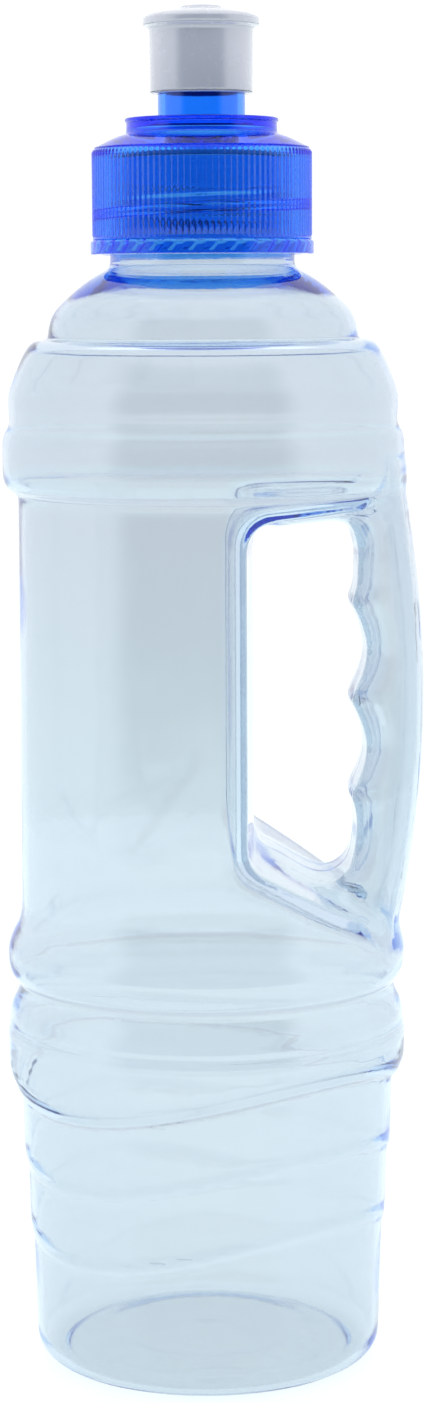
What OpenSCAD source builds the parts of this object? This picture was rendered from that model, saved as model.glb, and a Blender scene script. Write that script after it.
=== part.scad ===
// Sports squeeze bottle with a moulded side grip, a screw cap and a push-pull spout.
// Millimetres, +Z up. The bottle axis is Z, the foot ring stands on Z = 0 and the grip is at +X.

/* [Bottle body] */
// Radius of the two wide bands and the largest round radius of the bottle
band_r = 38.6; // [38.2:0.1:39.2]
// Radius of the plain wall between the bands
mid_r = 35.9; // [35.4:0.1:36.4]
// Radius of the wall just above the foot
foot_r = 34; // [33.5:0.1:34.5]
// Thickness of the blown wall
wall = 1.1; // [0.9:0.1:1.3]
// Height from the table to the rim of the neck
rim_z = 233.5; // [233:0.1:234]

/* [Waves above the foot] */
// Height of the highest point of the upper wave, which trims the lower band
wave_z = 60.8; // [60:0.1:62]
// Height between one wave and the next
wave_pitch = 14.5; // [13:0.5:16]
// Number of waves
wave_count = 3; // [1:1:3]
// How much each lower wave steps in
wave_step = 0.7; // [0.4:0.1:0.8]
// Radius of the long curve that each wave follows
wave_curve_r = 95; // [80:5:140]
// Direction of the wave crests around the bottle
wave_turn = -50; // [-90:5:90]

/* [Grip] */
// Distance from the axis to the flat wall behind the finger hole
grip_wall_x = 8.7; // [8:0.1:9.5]
// Depth of the grip from front to back
grip_depth = 26; // [22:1:28]
// Distance from the axis to the outermost point of the grip
grip_out_x = 42.4; // [41.5:0.1:43]
// Spacing of the finger ridges
finger_pitch = 18.6; // [18:0.1:19]
// Height of each finger ridge
finger_wave = 1.2; // [0.8:0.1:1.5]

/* [Neck thread] */
// Radius of the neck wall under the thread
neck_r = 17.6; // [17.5:0.05:17.7]
// Radius of the neck bore
neck_bore_r = 15.9; // [15.5:0.1:16.1]
// Rise of the thread in one turn
thread_pitch = 4.233; // [4.1:0.001:4.4]
// Radial height of the thread on the neck
thread_h = 1.15; // [1:0.05:1.2]

/* [Screw cap] */
// Radius of the ribbed skirt
skirt_r = 20.95; // [20.8:0.05:21.2]
// Number of grip ribs around the skirt
rib_count = 112; // [60:4:120]
// Depth of the groove between two ribs
rib_depth = 0.3; // [0.2:0.05:0.4]
// Radius of the tube that the spout slides on
stem_r = 8.28; // [8.2:0.01:8.4]

/* [Spout] */
// Radius of the spout body
spout_r = 9.85; // [9.6:0.05:9.95]
// Radius of the spout's finger flange
flange_r = 11.1; // [10.8:0.1:11.5]
// How far the spout is pulled up when it is open
spout_travel = 4.4; // [4:0.1:4.4]
// Radius of the drinking hole
hole_r = 2; // [1.9:0.1:2.2]

/* [Hidden] */
$fn = 96;

// Small overlap that lets two solids join cleanly
eps = 0.01;

// How far the wall under the plain part of the lower band stands back, so that the band alone sets the holder's fit
band_draft = 0.45;

// Grip: the curve of its outer face and the ends of its solid
grip_mid_z = 131;
grip_bow_r = 213;
grip_low_z = 84;
grip_high_z = 174;
// Finger hole: mean edge of the grip, and the round corners at its two ends
finger_x = 29.2;
finger_bow = 0.0012;
hole_top = [24.4, 160.6, 4.7];
hole_low = [21.6, 102.7, 7.4];
// Ceiling and floor of the recess, each as height at the flat wall and rise per millimetre outwards
ceiling = [165, 0.11];
floor_line = [102, -0.62];
recess_corner = 4;
recess_out_x = 60;

// Neck thread: start height, turns and half widths of its ridge at the root and the crest
neck_top = rim_z;
thread_z = 222.2;
thread_turns = 1.5;
ridge_root = 1.2;
ridge_crest = 0.45;
thread_steps = 36;
// Cap thread: its ridge hangs just under the ridge on the neck
cap_bore_r = 19.1;
cap_thread_h = 1.15;
cap_thread_turns = 1.25;
cap_ridge_root = 0.85;
cap_ridge_crest = 0.35;
thread_play = 0.2;
flank = ridge_crest + cap_ridge_crest + 0.5 * (ridge_root - ridge_crest + cap_ridge_root - cap_ridge_crest);
cap_thread_z = thread_z - flank - thread_play;

// Screw cap heights
cap_bottom_z = 215.3;
cap_flange_r = 21.3;
cap_flange_h = 2.5;
skirt_bottom_z = 218.6;
waist_r = skirt_r - rib_depth - 0.15;
skirt_top_z = 235;
deck_z = 237.6;
deck_r = 15.9;
collar_r = 14.45;
collar_z = 240.9;
liner_t = 1;
liner_gap = 0.05;
land_z = rim_z + liner_t + 2 * liner_gap;
land_r = 14.2;
crown_under_z = 239.2;
crown_under_r = 12.6;

// Stem, its retaining bead and the sealing post that closes the drinking hole
stem_bore_r = 6.9;
bead_r = 8.68;
bead_z = 247.7;
stem_top_z = 250.6;
post_r = 1.9;
post_foot_r = 2.6;
post_foot_z = stem_top_z - 3.6;
post_foot_h = 3;
post_taper_h = 2;
spoke_t = 1.2;
spoke_h = 2.4;
spoke_z = post_foot_z + 0.2;
spoke_count = 3;
// Bevel on the small edges of the post and the spout
bevel = 0.5;

// Spout: it is drawn pulled up, and running_gap is left around the stem and the bead
running_gap = 0.06;
spout_bottom_z = collar_z + spout_travel + 0.1;
spout_ring_h = 2.1;
spout_top_z = 261.8;
spout_tip_z = 261.2;
flange_z = 258;
flange_h = 1.5;
tip_r = 3.6;
dome_r = 9.8;
dome_z = 260.1;
post_top_z = spout_tip_z - spout_travel;

// ---- Functions ----

// Points on a circle about c from angle a0 to a1
function arc(c, r, a0, a1, n) = [for (i = [0 : n]) let (a = a0 + (a1 - a0) * i / n) c + r * [cos(a), sin(a)]];

// Direction at right angles to the outline at point i, turned inwards
function inward(p, i) =
    let (a = p[max(i - 1, 0)], b = p[min(i + 1, len(p) - 1)], d = (b - a) / norm(b - a)) [-d[1], d[0]];

// Outline p moved inwards by g
function inset(p, g) = [for (i = [0 : len(p) - 1]) p[i] + g * inward(p, i)];

// Edge of the grip beside the fingers at height z
function finger_edge(z) =
    let (d = z - grip_mid_z) finger_x - finger_wave * cos(360 * d / finger_pitch) - finger_bow * d * d;

// Outer face of the grip at height z, moved inwards by g
function grip_face(z, g) =
    let (d = z - grip_mid_z) grip_out_x - grip_bow_r + sqrt(grip_bow_r * grip_bow_r - d * d) - g;

// Height of the recess ceiling and floor at distance x from the axis
function ceiling_at(x) = ceiling[0] + ceiling[1] * (x - grip_wall_x);
function floor_at(x) = floor_line[0] + floor_line[1] * (x - grip_wall_x);

// Half profile of the bottle's outside from the foot ring to the neck, as [radius, height]
outside = concat(
    [[28.3, 0], [30.6, 0]],
    arc([30, 3.6], 3.6, -60, -15, 3),
    [[foot_r, 8], [foot_r + 0.4, 22], [foot_r + 0.6, 40], [foot_r + 0.7, wave_z - 0.5]],
    [[band_r, wave_z + 0.2], [band_r, 68.8], [band_r - 0.4, 70.4]],
    [[36.9, 73], [36.9, 75.2], [band_r - 0.6, 76.6], [band_r, 78.2], [band_r, 81.8]],
    [[band_r - 0.6, 84.2], [36.4, 86.6], [mid_r, 89.4], [mid_r - 0.2, 168.4]],
    [[36.4, 170.8], [band_r - 0.7, 172.3], [band_r, 174.2], [band_r, 180.4]],
    [[band_r - 0.6, 182], [37.3, 183.6], [37.3, 188.6], [36.2, 192.3]],
    arc([26.4, 190.6], 9.3, 8, 50, 4),
    [[30.1, 199.6], [29.6, 201.4]],
    arc([17.8, 200.6], 11.6, 6, 76, 6),
    [[18.8, 212.9], [neck_r, 214.4]]);

// Half profile of the raised middle of the base
push_up = [[0, 3.8], [20, 2.9], [26.6, 1.6], [28.3, 0]];

// Ridge of a thread: one closed section for each step, swept up a helix about Z.
// r0 and r1 are the radii of the ridge's foot and crest, w0 and w1 its half widths there.
module thread(r0, r1, w0, w1, z0, turns) {
    n = ceil(thread_steps * turns);
    // Both ends fade into the wall over a sixth of a turn
    fade = thread_steps / 6;
    points = [for (i = [0 : n])
        let (a = 360 * i / thread_steps,
             k = max(0.04, min(1, i / fade, (n - i) / fade)),
             z = z0 + thread_pitch * i / thread_steps,
             section = [[r0, -w0], [r0 + (r1 - r0) * k, -w1], [r0 + (r1 - r0) * k, w1], [r0, w0]])
        for (s = section) [s[0] * cos(a), s[0] * sin(a), z + s[1]]];
    sides = [for (i = [0 : n - 1], j = [0 : 3])
        let (a = 4 * i + j, b = 4 * i + (j + 1) % 4) each [[a, b, b + 4], [a, b + 4, a + 4]]];
    caps = [[0, 3, 2], [0, 2, 1], [4 * n, 4 * n + 1, 4 * n + 2], [4 * n, 4 * n + 2, 4 * n + 3]];
    polyhedron(points = points, faces = [for (f = concat(sides, caps))
        r1 > r0 ? f : [f[2], f[1], f[0]]], convexity = 6);
}

// ---- Bottle ----

// Space cut out behind the fingers, right through the body, with its walls moved outwards by g
module recess(g) {
    r = recess_corner + g;
    low_x = grip_wall_x - g;
    translate([0, band_r * 2, 0])
        rotate([90, 0, 0])
            linear_extrude(height = band_r * 4)
                polygon(concat(
                    [[recess_out_x, ceiling_at(recess_out_x) + g]],
                    arc([low_x + r, ceiling_at(low_x + r) + g - r], r, 90, 180, 5),
                    [[low_x, floor_at(low_x) - g], [recess_out_x, floor_at(recess_out_x) - g]]));
}

// The grip, with its skin moved inwards by g
module grip(g) {
    steps = 24;
    zs = [for (i = [0 : steps]) hole_top[1] + (hole_low[1] - hole_top[1]) * i / steps];
    faces = [for (i = [0 : 12]) grip_low_z + (grip_high_z - grip_low_z) * i / 12];
    half = grip_depth / 2 - g;
    intersection() {
        translate([0, half, 0])
            rotate([90, 0, 0])
                linear_extrude(height = 2 * half)
                    polygon(concat(
                        [[recess_out_x, grip_high_z], [hole_top[0], grip_high_z]],
                        arc([hole_top[0], hole_top[1]], hole_top[2] + g, 90, 20, 4),
                        [for (z = zs) [finger_edge(z) + g, z]],
                        arc([hole_low[0], hole_low[1]], hole_low[2] + g, -15, -75, 4),
                        [[hole_low[0] + 2, grip_low_z], [recess_out_x, grip_low_z]]));
        rotate_extrude()
            polygon(concat(
                [[0, grip_low_z]],
                [for (z = faces) [grip_face(z, g), z]],
                [[0, grip_high_z]]));
    }
}

// Round wall that reaches down to one wave. crest is the height of the wave's highest point.
module wave_band(r, crest, top) {
    drop = wave_curve_r - sqrt(wave_curve_r * wave_curve_r - r * r);
    low = crest - drop - 1;
    difference() {
        translate([0, 0, low])
            cylinder(h = top - low, r = r);
        rotate([0, 0, wave_turn])
            translate([-2 * band_r, 0, crest - wave_curve_r])
                rotate([0, 90, 0])
                    cylinder(h = 4 * band_r, r = wave_curve_r);
    }
}

module bottle_outside() {
    difference() {
        union() {
            rotate_extrude()
                polygon(concat(push_up, outside, [[neck_r, neck_top], [0, neck_top]]));
            wave_band(band_r - band_draft, wave_z, wave_z + 2);
            for (i = [1 : 1 : wave_count - 1])
                wave_band(foot_r + 0.6 + wave_step * (wave_count - i), wave_z - i * wave_pitch, wave_z);
        }
        recess(0);
    }
    grip(0);
}

module bottle_inside() {
    skin = inset(outside, wall);
    difference() {
        rotate_extrude()
            polygon(concat(
                [[0, 3.8 + wall], [20, 2.9 + wall], [27.2, 1.5 + wall]],
                [for (p = skin) if (p[1] > 3 && p[1] < 206) p],
                [[neck_bore_r, 211], [neck_bore_r, neck_top + 1], [0, neck_top + 1]]));
        recess(wall);
    }
    grip(wall);
}

module bottle() {
    color([0.78, 0.86, 0.92, 0.4]) {
        difference() {
            bottle_outside();
            bottle_inside();
        }
        thread(neck_r - 0.3, neck_r + thread_h, ridge_root, ridge_crest, thread_z, thread_turns);
    }
}

// ---- Screw cap ----

// Outline of the ribbed skirt seen from above
rib_outline = [for (i = [0 : 2 * rib_count - 1])
    (skirt_r - (i % 2) * rib_depth) * [cos(180 * i / rib_count), sin(180 * i / rib_count)]];

module cap_shell() {
    difference() {
        union() {
            translate([0, 0, cap_bottom_z])
                cylinder(h = cap_flange_h, r = cap_flange_r);
            translate([0, 0, cap_bottom_z + cap_flange_h])
                cylinder(h = skirt_bottom_z - cap_bottom_z - cap_flange_h, r = waist_r);
            translate([0, 0, skirt_bottom_z])
                linear_extrude(height = skirt_top_z - skirt_bottom_z)
                    polygon(rib_outline);
            rotate_extrude()
                polygon([
                    [0, skirt_top_z], [waist_r, skirt_top_z], [deck_r, deck_z],
                    [collar_r, deck_z + 0.7], [collar_r, collar_z - 0.4], [collar_r - 0.4, collar_z],
                    [0, collar_z]]);
            cylinder_between(stem_r, collar_z - eps, bead_z);
            cylinder_between(bead_r, bead_z, stem_top_z);
        }
        // Room for the neck, then the hollow under the crown and the bore of the stem
        cylinder_between(cap_bore_r, cap_bottom_z - 1, land_z);
        cylinder_between(crown_under_r, land_z - eps, crown_under_z);
        cylinder_between(stem_bore_r, crown_under_z - eps, stem_top_z + 1);
    }
}

module cylinder_between(r, z0, z1) {
    translate([0, 0, z0])
        cylinder(h = z1 - z0, r = r);
}

module sealing_post() {
    rotate_extrude()
        polygon([
            [0, post_foot_z], [post_foot_r, post_foot_z], [post_foot_r, post_foot_z + post_foot_h],
            [post_r, post_foot_z + post_foot_h + post_taper_h], [post_r, post_top_z - bevel],
            [post_r - bevel, post_top_z], [0, post_top_z]]);
    for (i = [0 : spoke_count - 1])
        rotate([0, 0, 360 * i / spoke_count])
            translate([0, -spoke_t / 2, spoke_z])
                cube([stem_bore_r + bevel, spoke_t, spoke_h]);
}

module screw_cap() {
    color([0.2, 0.42, 0.9, 0.7]) {
        cap_shell();
        sealing_post();
        thread(cap_bore_r + 0.3, cap_bore_r - cap_thread_h, cap_ridge_root, cap_ridge_crest,
            cap_thread_z, cap_thread_turns);
    }
}

// ---- Sealing liner ----

module sealing_liner() {
    color([0.9, 0.92, 0.95])
        rotate_extrude()
            translate([land_r, rim_z + liner_gap])
                square([cap_bore_r - 0.2 - land_r, liner_t]);
}

// ---- Push-pull spout ----

module push_pull_spout() {
    ring_r = stem_r + running_gap;
    slide_r = bead_r + running_gap;
    roof_z = flange_z + 1;
    color([0.95, 0.96, 0.97])
        rotate_extrude()
            polygon([
                [ring_r, spout_bottom_z], [spout_r - bevel, spout_bottom_z], [spout_r, spout_bottom_z + bevel],
                [spout_r, flange_z - bevel], [flange_r, flange_z], [flange_r, flange_z + flange_h],
                [dome_r, dome_z], [tip_r + 0.8, spout_tip_z], [tip_r, spout_top_z],
                [hole_r + 0.3, spout_top_z], [hole_r, spout_top_z - 0.3], [hole_r, spout_tip_z - 1.2],
                [slide_r - 1.6, roof_z], [slide_r, roof_z - 1.2],
                [slide_r, spout_bottom_z + spout_ring_h + 0.2], [ring_r, spout_bottom_z + spout_ring_h]]);
}

bottle();
screw_cap();
sealing_liner();
push_pull_spout();
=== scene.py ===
"""A clear sports squeeze bottle with a side grip, a translucent screw cap and a push-pull spout.

Lengths inside the shape functions are millimetres in the part's own frame: +Z up, the bottle's axis
on Z, the grip at +X. build() turns them into metres.
"""

import math

import bpy
import numpy as np
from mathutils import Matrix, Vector


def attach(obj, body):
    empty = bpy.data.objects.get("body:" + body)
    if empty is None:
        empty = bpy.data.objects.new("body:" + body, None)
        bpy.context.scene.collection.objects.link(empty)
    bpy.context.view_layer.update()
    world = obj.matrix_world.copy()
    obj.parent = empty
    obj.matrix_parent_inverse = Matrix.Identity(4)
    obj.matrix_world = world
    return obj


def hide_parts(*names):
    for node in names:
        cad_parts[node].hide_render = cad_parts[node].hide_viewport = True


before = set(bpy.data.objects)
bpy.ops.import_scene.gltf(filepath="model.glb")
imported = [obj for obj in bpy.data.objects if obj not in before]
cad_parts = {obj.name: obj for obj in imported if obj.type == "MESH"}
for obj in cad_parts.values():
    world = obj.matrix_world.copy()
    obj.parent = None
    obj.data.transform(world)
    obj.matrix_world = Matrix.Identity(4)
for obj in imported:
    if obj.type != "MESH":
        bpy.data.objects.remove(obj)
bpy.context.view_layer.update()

MM = 0.001
# A normal worked out from the field is kept only where it lies this close to the facets' own
SAME_WAY = math.cos(math.radians(14))

# ---- Driving sizes, in millimetres ----

WALL = 1.1
BAND_R = 38.6
FOOT_R = 34.0
WAVE_BASE_TAPER = 0.0265
NECK_R = 17.6
NECK_BORE_R = 15.9
NECK_WALL = NECK_R - NECK_BORE_R
RIM_Z = 233.5
# Radii of the rim's outer and inner edge
RIM_ROUND = (0.35, 0.3)
NECK_START_Z = 213.9

# Recess behind the fingers: where its flat back lies, and how much its walls lean out to the open sides.
# CEILING and FLOOR are each a height at HOLE_X and a rise per millimetre outwards.
HOLE_X = 9.4
DRAFT = 0.0437
FLOOR_DRAFT = 0.012
CEILING = (164.6, 0.10)
FLOOR = (102.0, -0.60)
CEILING_ROUND = 5.5
FLOOR_ROUND = 3.0
# Grip: half its width at its middle height, how much wider it is GRIP_FLARE_H away from there, and its outer
# face with that face's bow
GRIP_LOW_Z, GRIP_MID_Z, GRIP_TOP_Z = 83.0, 131.0, 175.0
GRIP_HALF = 12.5
GRIP_FLARE = 3.0
GRIP_FLARE_H = 42
GRIP_OUT_X = 42.4
GRIP_BOW_R = 213.0
GRIP_BOW_H = 50.0
# Rounds of the grip's inner and outer edges, of its ends, and where it joins the body
INNER_ROUND = 5.0
OUTER_ROUND = 4.5
END_ROUND = 1.5
BODY_ROUND = 3.0
# Scallops for the fingers: the edge that they are cut into, the ridges between them, and how that edge
# steps in over its top and its lower end, each as a depth, a height and the length of the step
FINGER_X = 30.7
FINGER_RIDGES = (149.5, 130.6, 112.0)
FINGER_RIDGE_H = 2.9
FINGER_REACH = 9.4
FINGER_TOP_STEP = (1.7, 150, 8)
FINGER_LOW_STEP = (1.9, 112, 9)
# Round corners where the grip meets the ceiling and the floor: centre x, centre z, radius
TOP_CORNER = (24.4, 160.6, 4.3)
LOW_CORNER = (21.5, 102.7, 7.2)
# The webs that fill those corners lie beyond WEB_X, one under LOW_WEB_Z and one over TOP_WEB_Z
WEB_X = 12.0
LOW_WEB_Z, TOP_WEB_Z = 104.0, 159.6
WEB_ROUND = 4.0
TOP_WEB_ROUND = 3.0

# Waves: height of the upper one's edge, its swing, the direction of its crests, and how far apart they follow
WAVE_MID_Z = 56.6
WAVE_SWING = 3.8
WAVE_CREST = math.radians(-49)
WAVE_GAP = 14.3
# The ledge under each edge: how far below the edge it starts and how tall it is, then the rib on it, with the
# factor that gives the outer skin a whole rib
WAVE_LEAD = 1.6
WAVE_LEDGE = 1.5
WAVE_RIB_W = 1.3
RIB_SHARE = 2.5
# For each wave: how far it steps out, over what height, how sharp its foot is, and the rib along its edge
WAVE_STEPS = ((2.25, 5.5, 1.0, 0.0), (0.65, 4.2, 0.4, 0.28), (0.55, 4.2, 0.4, 0.28))

# Threads of the neck and the cap, as on the CAD part
PITCH = 4.233
NECK_THREAD = dict(z=222.2, turns=1.5, height=1.15, foot=1.2, crest=0.45)
CAP_THREAD = dict(z=220.575, turns=1.25, height=1.15, foot=0.85, crest=0.35)

# The bottle's two skins. depth is how far in the skin lies, softness rounds its outline, edge rounds
# the rim of the recess, and crisp is the share of each wave's step in the short ledge at its foot.
OUTER_SKIN = dict(depth=0.0, softness=0.33, edge=1.6, crisp=0.4)
INNER_SKIN = dict(depth=WALL, softness=0.9, edge=3.2, crisp=0.1)
# Their grids, as (end, step) stops: half a turn in degrees, then radii and heights of each skin
TURN_STOPS = [(0, 0), (69, 2.9), (82, 0.87), (180, 2.9)]
OUTER_RADII = [(0.8, 0), (26, 1.6), (44.3, 0.72)]
INNER_RADII = [(0.8, 0), (26, 1.8), (44.1, 1.0)]
OUTER_HEIGHTS = [(-0.6, 0), (8, 0.55), (20, 1.2), (50, 1.1), (62, 0.6), (66, 1.0), (90, 0.65), (97, 0.95),
                 (162, 1.7), (168, 0.9), (175, 0.55), (181, 1.1), (NECK_START_Z, 0.68)]
INNER_HEIGHTS = [(0.6, 0), (9, 0.85), (20, 1.5), (50, 1.4), (62, 1.0), (66, 1.3), (90, 0.8), (97, 1.2),
                 (162, 2.1), (175, 1.0), (181, 1.4), (NECK_START_Z, 0.9)]


# ---- Small helpers ----

def smooth_max(a, b, k):
    """The larger of a and b, blended where they differ by less than k."""
    h = np.clip(0.5 + 0.5 * (a - b) / k, 0, 1)
    return b + (a - b) * h + k * h * (1 - h)


def smooth_min(a, b, k):
    return -smooth_max(-a, -b, k)


def smooth_step(t):
    t = np.clip(t, 0, 1)
    return t * t * (3 - 2 * t)


def distance_from_middle(y):
    """Distance from the middle plane, rounded off where it is small."""
    return np.sqrt(y * y + 0.09)


def arc(cx, cz, r, a0, a1, n):
    """Points on a circle about (cx, cz), from angle a0 to a1 in degrees."""
    return [(cx + r * math.cos(math.radians(a0 + (a1 - a0) * i / n)),
             cz + r * math.sin(math.radians(a0 + (a1 - a0) * i / n))) for i in range(n + 1)]


def build(name, points, faces, body, material, normals=None):
    """A smooth-shaded piece from points in millimetres, riding on a CAD body.

    normals are those of the first points, where they are known."""
    mesh = bpy.data.meshes.new(name)
    mesh.from_pydata((np.asarray(points) * MM).tolist(), [], [list(map(int, f)) for f in faces])
    mesh.polygons.foreach_set("use_smooth", [True] * len(mesh.polygons))
    if normals is not None:
        shading = np.array([v.normal for v in mesh.vertices])
        close = (shading[:len(normals)] * normals).sum(axis=1) > SAME_WAY
        shading[:len(normals)][close] = normals[close]
        mesh.normals_split_custom_set_from_vertices(shading.tolist())
    mesh.materials.append(material)
    piece = bpy.data.objects.new(name, mesh)
    bpy.context.scene.collection.objects.link(piece)
    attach(piece, body)
    return piece


# ---- Round profiles as distance fields ----

def eased(outline, reach=1.3, steps=4):
    """The outline with its shallow corners turned into smooth curves. Sharp corners stay as they are."""
    corners = np.array(outline, dtype=float)
    out = [corners[:1]]
    for before, at, after in zip(corners, corners[1:], corners[2:]):
        back, on = before - at, after - at
        far, near = np.linalg.norm(back), np.linalg.norm(on)
        if -back @ on < 0.5 * far * near:
            out.append(at[None])
            continue
        start, end = at + back * min(0.5, reach / far), at + on * min(0.5, reach / near)
        t = np.linspace(0, 1, steps + 1)[:, None]
        out.append((1 - t) ** 2 * start + 2 * t * (1 - t) * at + t ** 2 * end)
    out = np.concatenate(out + [corners[-1:]])
    apart = np.linalg.norm(np.diff(out, axis=0), axis=1) > 1e-6
    return out[np.append(True, apart)]


class Profile:
    """Signed distance to a closed (radius, height) outline, softened so that its corners are round."""

    STEP = 0.15
    MARGIN = 4.0

    def __init__(self, outline, softness):
        pts = np.array(outline, float)
        lo = np.array([0.0, pts[:, 1].min() - self.MARGIN])
        hi = pts.max(axis=0) + self.MARGIN
        self.lo = lo
        count = np.ceil((hi - lo) / self.STEP).astype(int) + 1
        r = lo[0] + self.STEP * np.arange(count[0])
        z = lo[1] + self.STEP * np.arange(count[1])
        gr, gz = np.meshgrid(r, z, indexing="ij")
        best = np.full(gr.shape, 1e9)
        inside = np.zeros(gr.shape, bool)
        for a, b in zip(pts, np.roll(pts, -1, axis=0)):
            d = b - a
            # an edge along the axis is no wall of the solid
            on_axis = abs(a[0]) < 1e-6 and abs(b[0]) < 1e-6
            if not on_axis:
                t = np.clip(((gr - a[0]) * d[0] + (gz - a[1]) * d[1]) / (d @ d), 0, 1)
                best = np.minimum(best, (gr - a[0] - t * d[0]) ** 2 + (gz - a[1] - t * d[1]) ** 2)
            if a[1] != b[1]:
                crosses = (a[1] > gz) != (b[1] > gz)
                at = a[0] + (gz - a[1]) * d[0] / d[1]
                inside ^= crosses & (gr < at)
        field = np.sqrt(best)
        field[inside] *= -1
        self.field = self.soften(field, softness / self.STEP)

    @staticmethod
    def soften(field, sigma):
        reach = int(3 * sigma) + 1
        weights = np.exp(-0.5 * (np.arange(-reach, reach + 1) / sigma) ** 2)
        weights /= weights.sum()
        for axis in (0, 1):
            # the field mirrors about the axis, and runs on past its other edges
            pad = [(0, 0), (0, 0)]
            pad[axis] = (reach, reach)
            wide = np.pad(field, pad, mode="reflect" if axis == 0 else "edge")
            total = np.zeros_like(field)
            for k, w in enumerate(weights):
                part = wide[k:k + field.shape[0], :] if axis == 0 else wide[:, k:k + field.shape[1]]
                total += w * part
            field = total
        return field

    def __call__(self, r, z):
        u = np.clip((r - self.lo[0]) / self.STEP, 0, self.field.shape[0] - 1.001)
        v = np.clip((z - self.lo[1]) / self.STEP, 0, self.field.shape[1] - 1.001)
        i, j = u.astype(int), v.astype(int)
        u, v = u - i, v - j
        f = self.field
        return ((f[i, j] * (1 - u) + f[i + 1, j] * u) * (1 - v)
                + (f[i, j + 1] * (1 - u) + f[i + 1, j + 1] * u) * v)


# ---- The blown bottle ----

LOW_TOP_Z = 65.4
LOW_OUTLINE = (
    [(0, 3.9), (19, 3.1), (26.3, 1.7), (28.2, 0.15), (28.9, 0.0)]
    + arc(29.3, 4.6, 4.6, -86, -10, 7)
    + [(FOOT_R, 8.0), (FOOT_R + WAVE_BASE_TAPER * (LOW_TOP_Z - 8), LOW_TOP_Z), (0, LOW_TOP_Z)])
HIGH_OUTLINE = (
    [(0, 64.0), (BAND_R, 64.0), (BAND_R, 68.7), (38.3, 70.2), (37.5, 71.7), (36.75, 73.4), (36.7, 75.3)]
    + [(37.7, 76.2), (38.4, 77.4), (38.75, 79.3), (38.76, 81.8), (38.3, 83.3), (37.6, 84.9), (36.7, 86.5)]
    + [(36.15, 88.4), (35.95, 90.5), (35.75, 130.0), (35.65, 169.2), (36.0, 170.1), (37.6, 171.0)]
    + [(38.35, 172.2), (38.65, 174.0), (38.6, 179.6), (38.3, 181.6), (37.35, 182.9), (37.1, 184.4)]
    + [(37.4, 186.2), (37.4, 188.4), (36.95, 190.4), (36.2, 192.3), (35.2, 194.9), (34.2, 196.9)]
    + [(33.2, 198.4), (32.2, 199.1), (30.9, 199.3), (29.75, 199.35), (29.6, 200.7), (29.4, 202.2)]
    + [(28.6, 204.3), (27.3, 205.8), (25.6, 207.4), (23.8, 209.0), (21.6, 210.6), (19.4, 211.9)]
    + [(18.1, 212.6), (17.65, 213.2), (NECK_R, 214.5), (NECK_R, 226.0), (0, 226.0)])


def wave_edge(turn):
    """Height of the upper wave's edge in the direction turn."""
    return WAVE_MID_Z + WAVE_SWING * np.cos(2 * (turn - WAVE_CREST))


def wave_bulge(x, y, z, crisp):
    """How far the waves stand out. crisp is the share of each step in the short ledge at its foot."""
    edge = wave_edge(np.arctan2(y, x))
    total = 0
    for k, (step, width, sharp, rib) in enumerate(WAVE_STEPS):
        above = z - edge + k * WAVE_GAP + WAVE_LEAD
        ledge = crisp * sharp
        slope, foot = smooth_step(above / width), smooth_step(above / WAVE_LEDGE)
        total = total + step * ((1 - ledge) * slope + ledge * foot)
        total = total + RIB_SHARE * crisp * rib * np.exp(-((above - WAVE_LEDGE) / WAVE_RIB_W) ** 2)
    return total


def finger_edge(z):
    """Edge of the grip beside the fingers, in the middle plane: shallow scallops that meet in ridges."""
    (top_in, top_z, top_h), (low_in, low_z, low_h) = FINGER_TOP_STEP, FINGER_LOW_STEP
    x = FINGER_X - top_in * smooth_step((z - top_z) / top_h) - low_in * smooth_step((low_z - z) / low_h)
    for ridge_z in FINGER_RIDGES:
        off = np.sqrt((z - ridge_z) ** 2 + 0.8) - 0.9
        x = x - FINGER_RIDGE_H * np.clip(1 - off / FINGER_REACH, 0, 1.2) ** 2
    return x


def recess_field(x, y, z):
    """Negative in the space behind the fingers, which goes right through the body."""
    away = distance_from_middle(y)
    left = HOLE_X - DRAFT * away - x
    top = (z - CEILING[0] - CEILING[1] * (x - HOLE_X) - DRAFT * away) * 0.995
    low = (FLOOR[0] + FLOOR[1] * (x - HOLE_X) - FLOOR_DRAFT * away - z) / math.hypot(1, FLOOR[1])
    return smooth_max(smooth_max(left, top, CEILING_ROUND), low, FLOOR_ROUND)


def corner_web(x, z, corner, slope, side):
    """Solid outside a round corner of the finger hole and outside the sloping side that runs into it.

    side is -1 for the corner over the recess floor and 1 for the one under its ceiling."""
    cx, cz, r = corner
    u, v = x - cx, z - cz
    nx, nz = -side * slope / math.hypot(1, slope), side / math.hypot(1, slope)
    in_corner = (v * side > 0) & (u * nz * side > v * nx * side)
    away = np.where(in_corner, np.hypot(u, v), np.maximum(u * nx + v * nz, u))
    return smooth_max(r - away, WEB_X - x, WEB_ROUND)


def grip_field(x, y, z, rho):
    """Negative in the grip, bowed outside and scalloped inside, and in the webs at both its ends."""
    d = z - GRIP_MID_Z
    half = GRIP_HALF + GRIP_FLARE * (d / GRIP_FLARE_H) ** 2
    away = distance_from_middle(y)
    out_x = GRIP_OUT_X - GRIP_BOW_R + np.sqrt(GRIP_BOW_R ** 2 - np.minimum(d * d, GRIP_BOW_H ** 2))
    inner = (finger_edge(z) + DRAFT * away - x) * 0.96
    low = smooth_max(corner_web(x, z, LOW_CORNER, FLOOR[1], -1), z - LOW_WEB_Z, WEB_ROUND)
    top = smooth_max(corner_web(x, z, TOP_CORNER, CEILING[1], 1), TOP_WEB_Z - z, TOP_WEB_ROUND)
    inner = smooth_min(inner, smooth_min(low, top, 1.0) + DRAFT * away, 2.0)
    bar = smooth_max(smooth_max(np.abs(y) - half, inner, INNER_ROUND), rho - out_x, OUTER_ROUND)
    return smooth_max(bar, np.maximum(z - GRIP_TOP_Z, GRIP_LOW_Z - z), END_ROUND)


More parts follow.
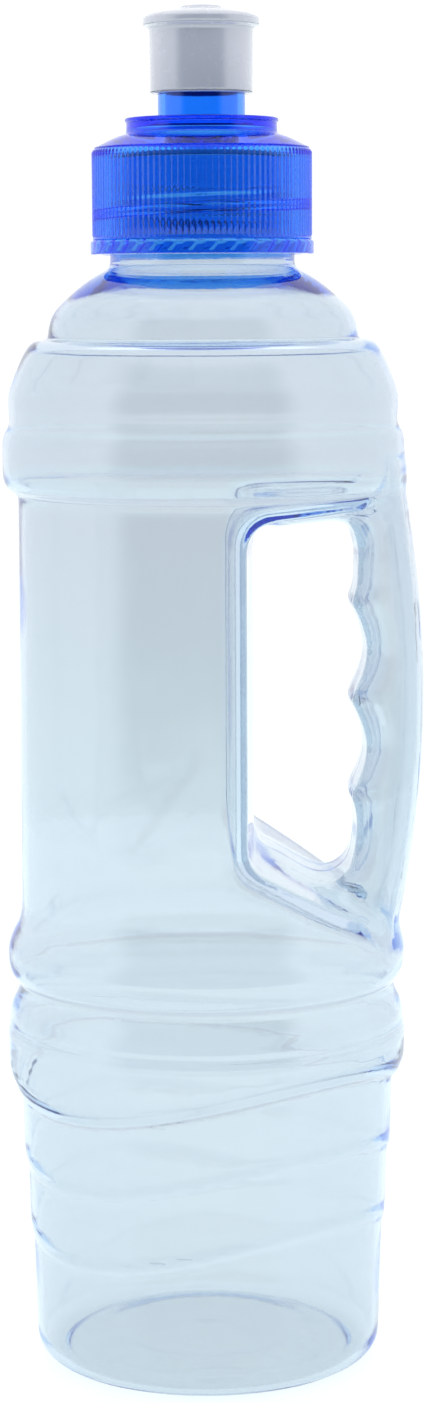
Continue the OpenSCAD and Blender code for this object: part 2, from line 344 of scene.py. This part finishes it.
class Bottle:
    """Distance to one of the bottle's skins, negative inside it."""

    def __init__(self, depth, softness, edge, crisp):
        self.depth, self.edge, self.crisp = depth, edge, crisp
        self.low = Profile(eased(LOW_OUTLINE), softness)
        self.high = Profile(eased(HIGH_OUTLINE), softness)

    def __call__(self, x, y, z):
        rho = np.hypot(x, y)
        body = np.minimum(self.low(rho, z) - wave_bulge(x, y, z, self.crisp), self.high(rho, z))
        body = smooth_max(body, -recess_field(x, y, z), self.edge)
        depth = self.depth * (1 + (NECK_WALL / WALL - 1) * smooth_step((z - 206) / 6))
        return smooth_min(body, grip_field(x, y, z, rho), BODY_ROUND) + depth


def spaced(stops):
    """Heights or radii from (end, step) stops, each stretch divided evenly."""
    values = [stops[0][0]]
    for end, step in stops[1:]:
        n = max(1, round((end - values[-1]) / step))
        values += [values[-1] + (end - values[-1]) * i / n for i in range(1, n + 1)]
    return np.array(values)


def surface_net(field, turn, radii, heights):
    """Quads on field = 0 over a grid of directions, radii and heights: points, faces and cell index."""
    turns = len(turn)
    step = np.diff(np.append(turn, turn[0] + 2 * math.pi))
    x = radii[None, :, None] * np.cos(turn)[:, None, None] + 0 * heights[None, None, :]
    y = radii[None, :, None] * np.sin(turn)[:, None, None] + 0 * heights[None, None, :]
    z = np.broadcast_to(heights[None, None, :], x.shape)
    f = field(x, y, z)
    f = np.concatenate([f, f[:1]], axis=0)
    inside = f < 0
    cells = (turns, len(radii) - 1, len(heights) - 1)
    total = np.zeros(cells + (3,))
    count = np.zeros(cells)
    corner = [slice(0, -1), slice(1, None)]
    for axis in range(3):
        others = [a for a in range(3) if a != axis]
        for p in (0, 1):
            for q in (0, 1):
                low = [None] * 3
                low[others[0]], low[others[1]] = corner[p], corner[q]
                high = list(low)
                low[axis], high[axis] = corner[0], corner[1]
                a, b = f[tuple(low)], f[tuple(high)]
                cross = (a < 0) != (b < 0)
                t = np.where(cross, a / np.where(cross, a - b, 1), 0)
                at = [None] * 3
                at[axis] = t
                at[others[0]], at[others[1]] = p * cross, q * cross
                for k in range(3):
                    total[..., k] += at[k] * cross
                count += cross
    used = count > 0
    i, j, k = np.nonzero(used)
    u = total[used] / count[used][:, None]
    rho = radii[j] + u[:, 1] * (radii[j + 1] - radii[j])
    phi = turn[i] + u[:, 0] * step[i]
    height = heights[k] + u[:, 2] * (heights[k + 1] - heights[k])
    points = np.stack([rho * np.cos(phi), rho * np.sin(phi), height], axis=1)
    index = np.full(cells, -1)
    index[used] = np.arange(len(i))
    faces = []

    def quads(a, b, c, d, flip):
        for keep, order in ((flip, (a, b, c, d)), (~flip, (d, c, b, a))):
            faces.append(np.stack([v[keep] for v in order], axis=1))

    i, j, k = np.nonzero(inside[:-1, 1:-1, 1:-1] != inside[1:, 1:-1, 1:-1])
    j, k = j + 1, k + 1
    quads(index[i, j - 1, k - 1], index[i, j, k - 1], index[i, j, k], index[i, j - 1, k], ~inside[i, j, k])
    i, j, k = np.nonzero(inside[:-1, :-1, 1:-1] != inside[:-1, 1:, 1:-1])
    k, h = k + 1, (i - 1) % turns
    quads(index[h, j, k - 1], index[h, j, k], index[i, j, k], index[i, j, k - 1], ~inside[i, j, k])
    i, j, k = np.nonzero(inside[:-1, 1:-1, :-1] != inside[:-1, 1:-1, 1:])
    j, h = j + 1, (i - 1) % turns
    quads(index[h, j - 1, k], index[i, j - 1, k], index[i, j, k], index[h, j, k], ~inside[i, j, k])
    return points, np.concatenate(faces), index


def slope_at(field, points, h):
    """The field's slope at each point, from its values h away on both sides."""
    x, y, z = points.T
    return np.stack([field(x + h, y, z) - field(x - h, y, z), field(x, y + h, z) - field(x, y - h, z),
                     field(x, y, z + h) - field(x, y, z - h)], axis=1) / (2 * h)


def settle(field, points, rounds=4, reach=0.4):
    """Points moved along the field's slope until they lie on its zero surface, and their outward normals."""
    for _ in range(rounds):
        slope = slope_at(field, points, 0.06)
        move = field(*points.T)[:, None] * slope / np.maximum((slope ** 2).sum(axis=1), 0.05)[:, None]
        points = points - np.clip(move, -reach, reach)
    slope = slope_at(field, points, 0.2)
    return points, slope / np.linalg.norm(slope, axis=1)[:, None]


def ridge(thread, turn, z):
    """How far a thread stands out of its wall, at a direction from 0 to a full turn and a height."""
    height = 0 * z
    for lap in range(math.ceil(thread["turns"])):
        along = turn / (2 * math.pi) + lap
        off = np.abs(z - thread["z"] - PITCH * along)
        side = smooth_step((thread["foot"] - off) / (thread["foot"] - thread["crest"]))
        ends = np.minimum(along, thread["turns"] - along) * 6
        height = np.maximum(height, thread["height"] * side * smooth_step(np.clip(ends, 0, 1)))
    return height


def bottle_turns():
    """Directions round the axis, closer together where the recess meets the round wall."""
    half = spaced(TURN_STOPS)
    return np.radians(np.concatenate([half[:-1], 360 - half[:0:-1]]))


def bottle_skins(turn):
    """The outer and the inner skin, each as points, normals, faces, top ring and the ring round the axis."""
    skins = []
    for shape, radii, heights in ((OUTER_SKIN, OUTER_RADII, OUTER_HEIGHTS),
                                  (INNER_SKIN, INNER_RADII, INNER_HEIGHTS)):
        field = Bottle(**shape)
        points, faces, index = surface_net(field, turn, spaced(radii), spaced(heights))
        points, normals = settle(field, points)
        skins.append((points, normals, faces, index[:, :, -1].max(axis=1), index[:, 0, :].max(axis=1)))
    return skins


def bridge(low, high):
    """Quads between two rings of points."""
    return [[a, b, c, d] for a, b, c, d in zip(low, np.roll(low, -1), np.roll(high, -1), high)]


def neck_profile():
    """The neck as (radius, height, threaded): up the outside, over the rim and down the bore."""
    outer, inner = RIM_ROUND
    up = spaced([(NECK_START_Z + 0.4, 0), (220, 1.0), (231, 0.45), (RIM_Z - outer, 0.8)])
    rim = arc(NECK_R - outer, RIM_Z - outer, outer, 20, 90, 4)
    rim += arc(NECK_BORE_R + inner, RIM_Z - inner, inner, 90, 180, 4)
    down = spaced([(RIM_Z - 1.5, 0), (NECK_START_Z + 0.6, 2.0)])
    return ([(NECK_R, z, True) for z in up] + [(r, z, False) for r, z in rim]
            + [(NECK_BORE_R, z, False) for z in down])


def make_bottle(material):
    """One closed shell: both skins, a fan that closes each at the axis, and the neck, which joins them."""
    turns = len(bottle_turns())
    outer_skin, inner_skin = bottle_skins(bottle_turns())
    outer, out_normals, faces, outer_top, outer_mid = outer_skin
    inner, in_normals, lining, inner_top, inner_mid = inner_skin
    first = len(outer)
    points = [outer, inner]
    count = first + len(inner)
    inner_top, inner_mid = inner_top + first, inner_mid + first
    faces = [list(f) for f in faces] + [list(f) for f in lining[:, ::-1] + first]
    centres = []
    for ring, flip in ((outer_mid, False), (inner_mid, True)):
        pts = np.concatenate(points)[ring]
        centres.append(np.array([[0, 0, pts[:, 2].mean()]]))
        for a, b in zip(ring, np.roll(ring, -1)):
            faces.append([count, a, b] if flip else [count, b, a])
        count += 1
    points += centres
    here = outer[outer_top]
    turn = np.arctan2(here[:, 1], here[:, 0]) % (2 * math.pi)
    last = outer_top
    for radius, z, threaded in neck_profile():
        r = radius + (ridge(NECK_THREAD, turn, np.full(turns, z)) if threaded else 0)
        points.append(np.stack([r * np.cos(turn), r * np.sin(turn), np.full(turns, z)], axis=1))
        ring = count + np.arange(turns)
        count += turns
        faces += bridge(last, ring)
        last = ring
    faces += bridge(last, inner_top)
    piece = build("bottle_shell", np.concatenate(points), faces, "container", material,
                  np.concatenate([out_normals, -in_normals]))
    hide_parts("bottle")


# ---- Turned pieces ----

def rounded(corners, steps=4):
    """A closed outline from (radius, height, fillet) corners, with support points beside each fillet."""
    out = []
    pts = [np.array(c[:2], float) for c in corners]
    for i, (_, _, fillet) in enumerate(corners):
        p, a, b = pts[i], pts[i - 1], pts[(i + 1) % len(pts)]
        if fillet <= 0:
            out.append(tuple(p))
            continue
        to_a, to_b = (a - p) / np.linalg.norm(a - p), (b - p) / np.linalg.norm(b - p)
        start, end = p + to_a * fillet, p + to_b * fillet
        out.append(tuple(start + to_a * fillet * 0.25))
        for s in range(steps + 1):
            t = s / steps
            out.append(tuple((1 - t) ** 2 * start + 2 * t * (1 - t) * p + t * t * end))
        out.append(tuple(end + to_b * fillet * 0.25))
    return out


def lathe(outline, turns, shape=None):
    """Points and faces of a closed outline turned about Z. shape(turn, radius, height) gives the radius."""
    turn = np.arange(turns) * 2 * math.pi / turns
    points, faces = [], []
    rings = len(outline)
    for r, z in outline:
        radius = shape(turn, r, z) if shape else np.full(turns, r)
        points.append(np.stack([radius * np.cos(turn), radius * np.sin(turn), np.full(turns, z)], axis=1))
    for i in range(rings):
        faces += bridge(i * turns + np.arange(turns), (i + 1) % rings * turns + np.arange(turns))
    return np.concatenate(points), faces


# ---- Screw cap and its sealing post ----

CAP_BOTTOM_Z = 215.3
CAP_BORE_R = 19.1
RIB_R = 20.95
RIB_DEPTH = 0.3
RIB_COUNT = 112
RIB_LOW_Z, RIB_HIGH_Z = 218.4, 235.0
# Lugs round the inside of the lower flange: how far they stand in, and how much each leans per millimetre
LUG_COUNT = 32
LUG_TOP_Z = 217.7
LUG_H = 0.32
LUG_LEAN = 0.22
STEM_R = 8.28
STEM_BORE_R = 6.9
STEM_TOP_Z = 250.6
BEAD_Z = 247.7
BEAD_R = 8.68
COLLAR_Z = 240.9
LAND_Z = 234.6
POST_R = 1.9
POST_FOOT_R = 2.6
POST_LOW_Z, POST_TOP_Z = 247.0, 256.8
SPOKE_COUNT = 3


def cap_radius(turn, r, z):
    """The cap's radius round one ring of its outline, with ribs outside, and thread and lugs inside."""
    radius = np.full(len(turn), float(r))
    if r > 20 and RIB_LOW_Z < z < RIB_HIGH_Z + 0.1:
        fade = float(smooth_step((z - RIB_LOW_Z) / 0.5) * smooth_step((RIB_HIGH_Z - z) / 0.5))
        groove = 0.5 - 0.5 * np.cos(RIB_COUNT * turn)
        radius -= RIB_DEPTH * (1 - fade * groove ** 0.6)
    elif abs(r - CAP_BORE_R) < 0.01 and z > LUG_TOP_Z:
        radius -= ridge(CAP_THREAD, turn, np.full(len(turn), z))
    elif abs(r - CAP_BORE_R) < 0.3 and z <= LUG_TOP_Z:
        along = (turn * LUG_COUNT / (2 * math.pi) - LUG_LEAN * (z - CAP_BOTTOM_Z)) % 1
        ends = float(smooth_step((z - CAP_BOTTOM_Z - 0.2) / 0.3) * smooth_step((LUG_TOP_Z - 0.2 - z) / 0.3))
        radius -= LUG_H * ends * smooth_step(np.clip((0.26 - np.abs(along - 0.5)) * 9, 0, 1))
    return radius


def make_cap(material):
    """The cap as one turned outline: flange, ribbed skirt, deck, collar, stem, bore and thread."""
    outside = rounded([(21.3, CAP_BOTTOM_Z, 0.25), (21.3, 217.8, 0.35), (20.7, 218.15, 0.12)], 3)
    outside += [(RIB_R, RIB_LOW_Z + up) for up in (0, 0.2, 0.5)]
    outside += [(RIB_R, z) for z in (221.0, 224.0, 227.0, 230.0, 233.0)]
    outside += [(RIB_R, RIB_HIGH_Z - down) for down in (0.5, 0.25, 0)]
    crown = rounded([(20.6, 235.35, 0.25), (16.6, 237.3, 1.0), (14.4, 238.0, 0.4), (14.3, 240.0, 0.2),
                     (14.6, 240.25, 0.15), (14.6, COLLAR_Z, 0.3), (STEM_R + 0.02, COLLAR_Z, 0.35),
                     (STEM_R, BEAD_Z - 0.2, 0.1), (BEAD_R, BEAD_Z + 0.1, 0.2), (BEAD_R, 250.1, 0.3),
                     (BEAD_R - 0.6, STEM_TOP_Z, 0.2), (STEM_BORE_R, STEM_TOP_Z, 0.25),
                     (STEM_BORE_R, 239.1, 0.8), (12.6, 239.1, 0.8), (12.6, LAND_Z, 0.3),
                     (CAP_BORE_R, LAND_Z, 0.2)], 3)
    inside = [(CAP_BORE_R, z) for z in spaced([(233.0, 0), (229.0, -2.0), (219.2, -0.35), (218.2, -0.5)])]
    inside += [(CAP_BORE_R + 0.15, z) for z in spaced([(LUG_TOP_Z, 0), (CAP_BOTTOM_Z + 0.1, -0.2)])]
    inside += [(CAP_BORE_R + 0.35, CAP_BOTTOM_Z)]
    points, faces = lathe(outside + crown + inside, RIB_COUNT * 4, cap_radius)
    piece = build("screw_cap_shell", points, faces, "cap", material)
    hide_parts("screw_cap")


def make_sealing_post(material):
    """The post that closes the drinking hole, on its three spokes inside the stem."""
    post = rounded([(0.02, POST_LOW_Z, 0), (POST_FOOT_R, POST_LOW_Z, 0.4), (POST_FOOT_R, 250.0, 0.5),
                    (POST_R, 252.0, 0.4), (POST_R, POST_TOP_Z, 0.5), (0.02, POST_TOP_Z, 0)])
    points, faces = lathe(post, 48)
    build("sealing_post", points, faces, "cap", material)
    for k in range(SPOKE_COUNT):
        a = 2 * math.pi * k / SPOKE_COUNT
        wide, tall, low, foot = 0.6, 2.4, 247.2, 0.15
        section = [(-wide, low), (wide, low), (wide, low + tall - foot), (wide - foot, low + tall),
                   (-wide + foot, low + tall), (-wide, low + tall - foot)]
        points = [(r * math.cos(a) - s * math.sin(a), r * math.sin(a) + s * math.cos(a), z)
                  for r in (POST_FOOT_R - 0.4, 4.6, STEM_BORE_R + 0.3) for s, z in section]
        n = len(section)
        faces = [[i * n + j, i * n + (j + 1) % n, (i + 1) * n + (j + 1) % n, (i + 1) * n + j]
                 for i in range(2) for j in range(n)]
        faces += [list(range(n))[::-1], [2 * n + j for j in range(n)]]
        build(f"post_spoke_{k + 1}", points, faces, "cap", material)


# ---- Spout and liner ----

def make_spout(material):
    """The mouthpiece: its bell, the drinking hole in its top and the snap ring inside its lower edge."""
    outline = rounded([(8.34, 245.4, 0.25), (9.55, 245.4, 0.35), (9.75, 246.0, 0.3), (9.85, 257.2, 0.4),
                       (10.15, 257.85, 0.3), (10.85, 258.0, 0.25), (11.1, 258.5, 0.25), (11.05, 259.5, 0.35),
                       (10.1, 260.15, 0.4), (7.6, 260.75, 0.9), (4.3, 261.25, 0.4), (3.6, 261.8, 0.3),
                       (2.3, 261.8, 0.25), (2.0, 261.5, 0.1), (2.0, 260.2, 0.4), (7.1, 259.0, 0.8),
                       (8.74, 257.8, 0.6), (8.74, 247.8, 0.15), (8.34, 247.5, 0.1)])
    points, faces = lathe(outline, 160)
    piece = build("spout_shell", points, faces, "spout", material)
    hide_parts("push_pull_spout")


def make_liner(material):
    """The soft ring under the cap, pressed in where the rim of the neck bears on it."""
    outline = rounded([(14.2, 233.55, 0.15), (18.9, 233.55, 0.3), (18.9, 234.55, 0.3), (17.6, 234.55, 0.1),
                       (17.4, 234.45, 0.1), (15.7, 234.45, 0.1), (15.5, 234.55, 0.1), (14.2, 234.55, 0.15)])
    points, faces = lathe(outline, 120)
    piece = build("liner_ring", points, faces, "seal", material)
    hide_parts("sealing_liner")


# ---- Materials ----

def new_material(name):
    material = bpy.data.materials.new(name)
    material.use_nodes = True
    nodes = material.node_tree.nodes
    return material, nodes, material.node_tree.links, nodes["Principled BSDF"]


def noise(nodes, links, scale, detail, low, high, socket):
    """Drives a socket with object-space noise spread between low and high."""
    place = nodes.new("ShaderNodeTexCoord")
    texture = nodes.new("ShaderNodeTexNoise")
    texture.inputs["Scale"].default_value = scale
    texture.inputs["Detail"].default_value = detail
    links.new(place.outputs["Object"], texture.inputs["Vector"])
    spread = nodes.new("ShaderNodeMapRange")
    spread.inputs["From Min"].default_value = 0.3
    spread.inputs["From Max"].default_value = 0.7
    spread.inputs["To Min"].default_value = low
    spread.inputs["To Max"].default_value = high
    links.new(texture.outputs["Fac"], spread.inputs["Value"])
    links.new(spread.outputs["Result"], socket)


def tint(nodes, links, scale, first, second, socket):
    """Drives a colour socket with a slow drift between two colours."""
    place = nodes.new("ShaderNodeTexCoord")
    texture = nodes.new("ShaderNodeTexNoise")
    texture.inputs["Scale"].default_value = scale
    ramp = nodes.new("ShaderNodeValToRGB")
    ramp.color_ramp.elements[0].position = 0.35
    ramp.color_ramp.elements[0].color = first + (1,)
    ramp.color_ramp.elements[1].position = 0.65
    ramp.color_ramp.elements[1].color = second + (1,)
    links.new(place.outputs["Object"], texture.inputs["Vector"])
    links.new(texture.outputs["Fac"], ramp.inputs["Fac"])
    links.new(ramp.outputs["Color"], socket)


def bump(nodes, links, shader, layers):
    """Stacks object-space noise bumps: (scale, detail, depth in metres)."""
    last = None
    for scale, detail, depth in layers:
        place = nodes.new("ShaderNodeTexCoord")
        texture = nodes.new("ShaderNodeTexNoise")
        texture.inputs["Scale"].default_value = scale
        texture.inputs["Detail"].default_value = detail
        step = nodes.new("ShaderNodeBump")
        step.inputs["Strength"].default_value = 1.0
        step.inputs["Distance"].default_value = depth
        links.new(place.outputs["Object"], texture.inputs["Vector"])
        links.new(texture.outputs["Fac"], step.inputs["Height"])
        if last:
            links.new(last.outputs["Normal"], step.inputs["Normal"])
        last = step
    links.new(last.outputs["Normal"], shader.inputs["Normal"])


def absorb(nodes, links, colour, density):
    """Takes light away along its path inside the plastic."""
    volume = nodes.new("ShaderNodeVolumeAbsorption")
    volume.inputs["Color"].default_value = colour + (1,)
    volume.inputs["Density"].default_value = density
    output = next(n for n in nodes if n.type == "OUTPUT_MATERIAL")
    links.new(volume.outputs["Volume"], output.inputs["Volume"])


def clear_plastic():
    material, nodes, links, shader = new_material("clear_body_plastic")
    tint(nodes, links, 18.0, (0.828, 0.846, 0.854), (0.840, 0.855, 0.862), shader.inputs["Base Color"])
    shader.inputs["Transmission Weight"].default_value = 1.0
    shader.inputs["IOR"].default_value = 1.57
    noise(nodes, links, 55.0, 3.0, 0.015, 0.045, shader.inputs["Roughness"])
    bump(nodes, links, shader, [(38.0, 1.0, 0.00022), (420.0, 2.0, 0.000006)])
    absorb(nodes, links, (0.12, 0.52, 0.95), 80.0)
    return material


def blue_plastic():
    material, nodes, links, shader = new_material("translucent_blue_plastic")
    tint(nodes, links, 60.0, (0.13, 0.50, 0.985), (0.15, 0.53, 1.0), shader.inputs["Base Color"])
    shader.inputs["Transmission Weight"].default_value = 1.0
    shader.inputs["IOR"].default_value = 1.49
    noise(nodes, links, 260.0, 3.0, 0.02, 0.05, shader.inputs["Roughness"])
    bump(nodes, links, shader, [(900.0, 2.0, 0.000003)])
    absorb(nodes, links, (0.02, 0.52, 0.99), 300.0)
    return material


def white_plastic():
    material, nodes, links, shader = new_material("white_spout_plastic")
    tint(nodes, links, 90.0, (0.62, 0.625, 0.72), (0.66, 0.665, 0.76), shader.inputs["Base Color"])
    shader.inputs["Subsurface Weight"].default_value = 0.2
    shader.inputs["Subsurface Radius"].default_value = (0.004, 0.004, 0.005)
    shader.inputs["Subsurface Scale"].default_value = 0.3
    shader.inputs["Coat Weight"].default_value = 1.0
    shader.inputs["Coat IOR"].default_value = 1.95
    shader.inputs["Coat Roughness"].default_value = 0.06
    shader.inputs["IOR"].default_value = 1.5
    noise(nodes, links, 420.0, 4.0, 0.2, 0.3, shader.inputs["Roughness"])
    bump(nodes, links, shader, [(1400.0, 3.0, 0.000002)])
    return material


def foam():
    material, nodes, links, shader = new_material("liner_foam")
    tint(nodes, links, 300.0, (0.78, 0.80, 0.83), (0.86, 0.87, 0.89), shader.inputs["Base Color"])
    noise(nodes, links, 900.0, 4.0, 0.6, 0.85, shader.inputs["Roughness"])
    bump(nodes, links, shader, [(2600.0, 4.0, 0.00004)])
    return material


def glowing_floor_material():
    material, nodes, links, shader = new_material("studio_floor")
    # the table's own colour is dark grey; its paleness comes from the painted glow set below
    tint(nodes, links, 3.0, (0.18, 0.185, 0.19), (0.20, 0.205, 0.21), shader.inputs["Base Color"])
    noise(nodes, links, 30.0, 2.0, 0.55, 0.7, shader.inputs["Roughness"])
    # painted light: the table top glows by its own emission, with no lamp under it, so it looks evenly pale
    # and the shade under the bottle is filled in
    shader.inputs["Emission Color"].default_value = (0.90, 0.98, 0.975, 1)
    shader.inputs["Emission Strength"].default_value = 0.96
    return material


# ---- Studio ----

# The round table: radius, thickness and the round on its edge in millimetres, and its sides
TABLE_R = 640.0
TABLE_T = 20.0
TABLE_EDGE = 4.0
TABLE_TURNS = 96
# Brightness of the room by direction
ROOM_SIDE = (1.05, 1.08, 1.10)
ROOM_LOW = (1.07, 1.16, 1.155)
ROOM_FRONT = (0.05, 0.08, 0.12)
ROOM_TOP = (1.12, 1.16, 1.2)
# Where each part of the room begins and is complete, as a direction's height: the low part that meets
# the table, the foot of the front opening and the bright top. FRONT_EDGE is the opening by heading.
LOW_EDGE = (-0.06, -0.17)
FRONT_EDGE = (-math.cos(math.radians(64)), -math.cos(math.radians(42)))
FRONT_FOOT = (-0.20, -0.11)
TOP_EDGE = (0.62, 0.82)
# The opening works on the object but isn't seen itself: whole where a ray isn't the camera's own
UNSEEN = (1, 0)
# A reflection inside the plastic counts as a glossy bounce, so all the limits are high
BOUNCES = 96
# Camera: focal length on a 36 mm film, place in metres, and how far it tips down and rolls, in degrees
LENS = 80.8
EYE = (0.0021, -0.6065, 0.2095)
TIP_DOWN = 7.53
ROLL = 0.3


def make_floor():
    """A round table top under the object, with a soft edge, made pale by its painted glow."""
    points, faces = lathe(rounded([(1.0, 0.0, 0), (TABLE_R, 0.0, TABLE_EDGE), (TABLE_R, -TABLE_T, TABLE_EDGE),
                                   (1.0, -TABLE_T, 0)]), TABLE_TURNS)
    mesh = bpy.data.meshes.new("studio_floor")
    points = np.concatenate([points, [[0, 0, 0.0]]])
    ring = range(TABLE_TURNS)
    faces += [[a, b, len(points) - 1] for a, b in zip(ring, np.roll(ring, -1))]
    mesh.from_pydata((points * MM).tolist(), [], [list(map(int, f)) for f in faces])
    mesh.materials.append(glowing_floor_material())
    floor = bpy.data.objects.new("studio_floor", mesh)
    bpy.context.scene.collection.objects.link(floor)


def make_world():
    """A soft room: white all round, brighter overhead, and a darker opening towards the front."""
    world = bpy.data.worlds.new("studio")
    world.use_nodes = True
    nodes, links = world.node_tree.nodes, world.node_tree.links
    place = nodes.new("ShaderNodeTexCoord")
    split = nodes.new("ShaderNodeSeparateXYZ")
    links.new(place.outputs["Generated"], split.inputs["Vector"])
    flat = nodes.new("ShaderNodeCombineXYZ")
    links.new(split.outputs["X"], flat.inputs["X"])
    links.new(split.outputs["Y"], flat.inputs["Y"])
    unit = nodes.new("ShaderNodeVectorMath")
    unit.operation = "NORMALIZE"
    links.new(flat.outputs["Vector"], unit.inputs[0])
    heading = nodes.new("ShaderNodeSeparateXYZ")
    links.new(unit.outputs["Vector"], heading.inputs["Vector"])
    own = nodes.new("ShaderNodeLightPath").outputs["Is Camera Ray"]
    front = ((heading.outputs["Y"], FRONT_EDGE), (split.outputs["Z"], FRONT_FOOT), (own, UNSEEN))
    colour = ROOM_SIDE + (1,)
    for spans, other in ((((split.outputs["Z"], LOW_EDGE),), ROOM_LOW), (front, ROOM_FRONT),
                         (((split.outputs["Z"], TOP_EDGE),), ROOM_TOP)):
        factor = 1.0
        for source, (low, high) in spans:
            share = nodes.new("ShaderNodeMapRange")
            share.interpolation_type = "SMOOTHSTEP"
            share.inputs["From Min"].default_value = low
            share.inputs["From Max"].default_value = high
            links.new(source, share.inputs["Value"])
            if factor == 1.0:
                factor = share.outputs["Result"]
            else:
                both = nodes.new("ShaderNodeMath")
                both.operation = "MULTIPLY"
                links.new(factor, both.inputs[0])
                links.new(share.outputs["Result"], both.inputs[1])
                factor = both.outputs["Value"]
        mix = nodes.new("ShaderNodeMix")
        mix.data_type = "RGBA"
        links.new(factor, mix.inputs["Factor"])
        if isinstance(colour, tuple):
            mix.inputs[6].default_value = colour
        else:
            links.new(colour, mix.inputs[6])
        mix.inputs[7].default_value = other + (1,)
        colour = mix.outputs[2]
    links.new(colour, nodes["Background"].inputs["Color"])
    bpy.context.scene.world = world


def make_light(name, place, target, size, power):
    light = bpy.data.lights.new(name, "AREA")
    light.shape = "RECTANGLE"
    light.size, light.size_y = size
    light.energy = power
    lamp = bpy.data.objects.new(name, light)
    lamp.location = place
    lamp.rotation_euler = (Vector(target) - Vector(place)).to_track_quat("-Z", "Y").to_euler()
    bpy.context.scene.collection.objects.link(lamp)


def make_studio():
    scene = bpy.context.scene
    make_world()
    scene.view_settings.view_transform = "Standard"
    scene.cycles.max_bounces = BOUNCES
    scene.cycles.transmission_bounces = BOUNCES
    scene.cycles.glossy_bounces = BOUNCES
    make_light("overhead", (0, 0.5, 1.5), (0, 0, 0.13), (1.2, 1.2), 1)


def make_camera():
    camera = bpy.data.cameras.new("camera")
    camera.lens = LENS
    camera.sensor_width = 36
    camera.clip_start = 0.01
    eye = bpy.data.objects.new("camera", camera)
    eye.location = EYE
    eye.rotation_euler = (math.radians(90 - TIP_DOWN), math.radians(ROLL), 0)
    bpy.context.scene.collection.objects.link(eye)
    bpy.context.scene.camera = eye


make_camera()
make_studio()
make_floor()
blue = blue_plastic()
make_bottle(clear_plastic())
make_cap(blue)
make_sealing_post(blue)
make_spout(white_plastic())
make_liner(foam())
